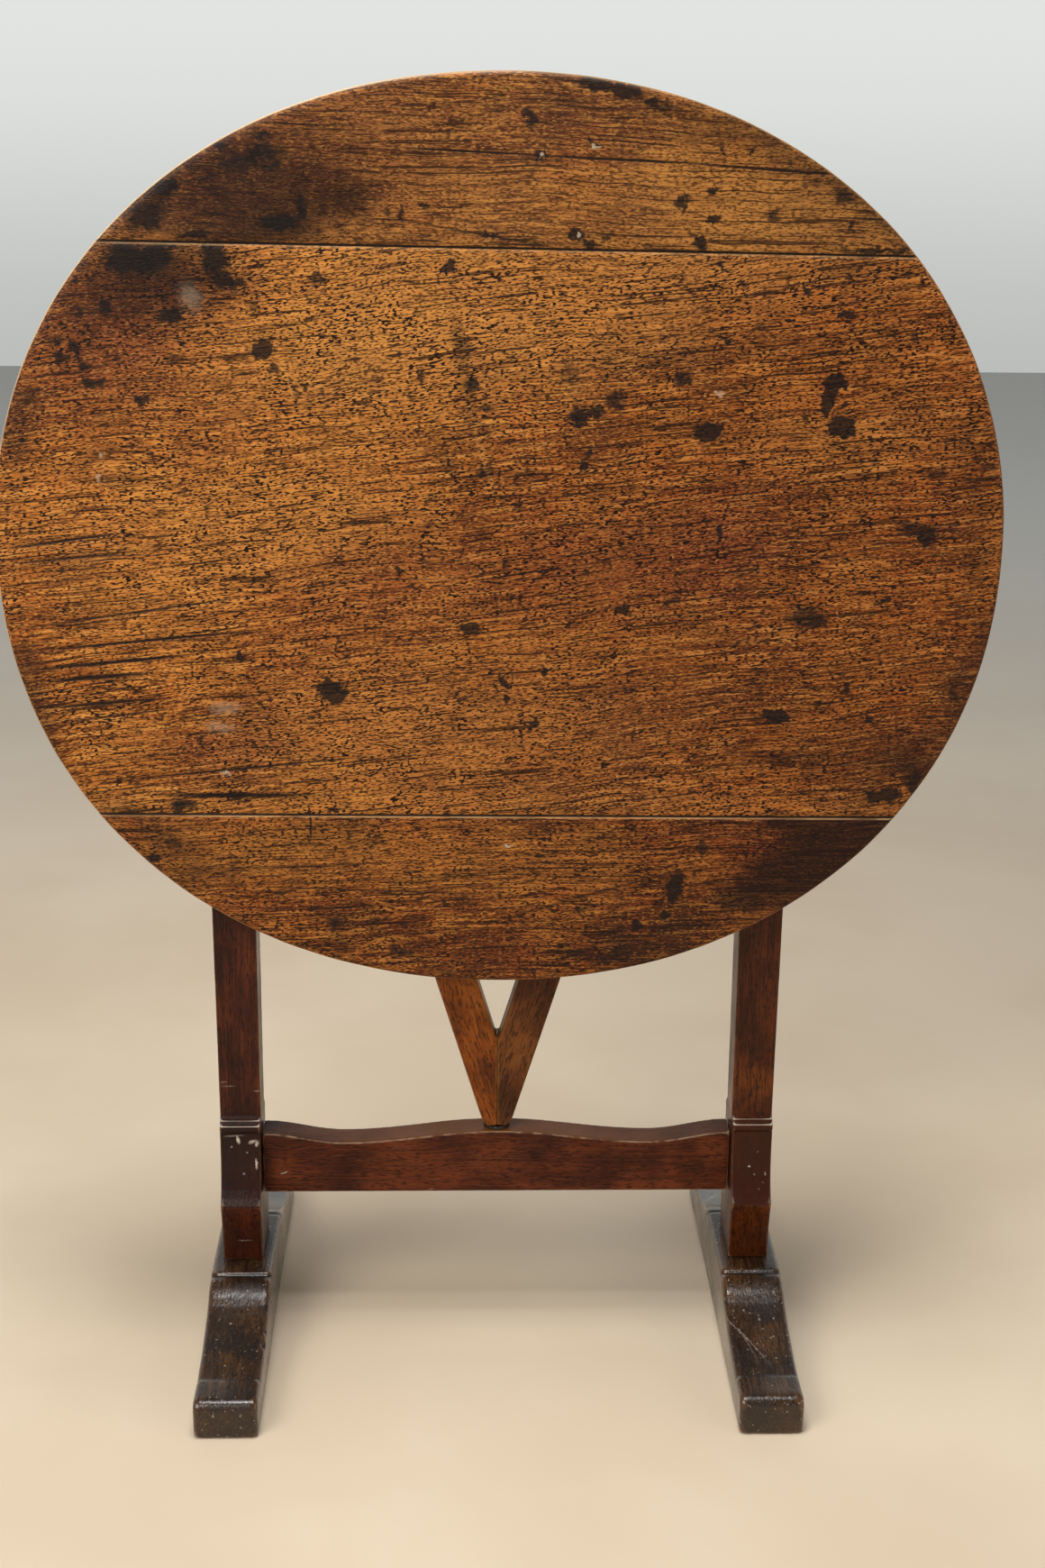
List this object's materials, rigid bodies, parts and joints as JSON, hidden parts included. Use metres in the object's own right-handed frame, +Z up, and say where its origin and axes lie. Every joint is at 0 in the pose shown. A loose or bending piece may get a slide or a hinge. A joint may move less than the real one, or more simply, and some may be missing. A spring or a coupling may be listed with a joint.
{
  "type": "harvest table",
  "caption": "Folding harvest table: an oval plank top that tips upright on a trestle with sledge feet, a scalloped stretcher and a swinging V-shaped prop.",
  "frame": {"origin": "on the floor, midway between the two sledge feet, under the trestle", "axes": "+X along the stretcher, +Z up, +Y to the back; the face of the tipped-up top looks along -Y"},
  "size_m": [0.82, 0.43, 1.109],
  "materials": {
    "walnut_top": "waxed, worn and stained walnut",
    "underside_wood": "bare darkened walnut",
    "dark_frame": "dark waxed walnut",
    "foot_wood": "near-black worn walnut",
    "gate_wood": "orange-brown waxed wood",
    "peg_wood": "oak pegs",
    "iron": "old forged iron"
  },
  "bodies": {
    "base": {"left_foot": "foot_wood", "right_foot": "foot_wood", "left_upright": "dark_frame", "right_upright": "dark_frame", "left_foot_peg": "peg_wood", "right_foot_peg": "peg_wood", "stretcher": "dark_frame", "left_stretcher_peg": "peg_wood", "right_stretcher_peg": "peg_wood", "top_rail": "dark_frame", "left_top_rail_peg": "peg_wood", "right_top_rail_peg": "peg_wood", "left_pivot_pin": "iron", "right_pivot_pin": "iron", "gate_washer": "iron"},
    "top": {"lower_plank": "walnut_top", "middle_plank": "walnut_top", "upper_plank": "walnut_top", "lower_tongue": "walnut_top", "upper_tongue": "walnut_top", "left_batten": "underside_wood", "right_batten": "underside_wood", "left_batten_screw_lower": "iron", "left_batten_screw_middle": "iron", "left_batten_screw_upper": "iron", "right_batten_screw_lower": "iron", "right_batten_screw_middle": "iron", "right_batten_screw_upper": "iron", "left_cheek": "underside_wood", "right_cheek": "underside_wood", "left_cheek_screw_front": "iron", "left_cheek_screw_back": "iron", "right_cheek_screw_front": "iron", "right_cheek_screw_back": "iron", "bearer_rail": "underside_wood", "left_bearer_peg": "peg_wood", "right_bearer_peg": "peg_wood", "gate_stop": "underside_wood", "gate_stop_screw": "iron"},
    "gate": {"gate_bar": "gate_wood", "left_gate_arm": "gate_wood", "right_gate_arm": "gate_wood", "left_bar_peg": "peg_wood", "right_bar_peg": "peg_wood", "gate_dowel": "peg_wood", "gate_lower_pin": "iron", "gate_upper_pin": "iron"}
  },
  "joints": [
    {"name": "top_tilt", "type": "hinge", "parent": "base", "child": "top", "pos_m": [0, 0, 0.668], "axis": [-1, 0, 0], "range_deg": [0, 90]},
    {"name": "gate_swing", "type": "hinge", "parent": "base", "child": "gate", "pos_m": [0, 0, 0.1901], "axis": [0, 0, 1], "range_deg": [0, 90]}
  ],
  "couplings": [
    {"joint": "gate_swing", "follows": "top_tilt", "ratio": 1}
  ]
}
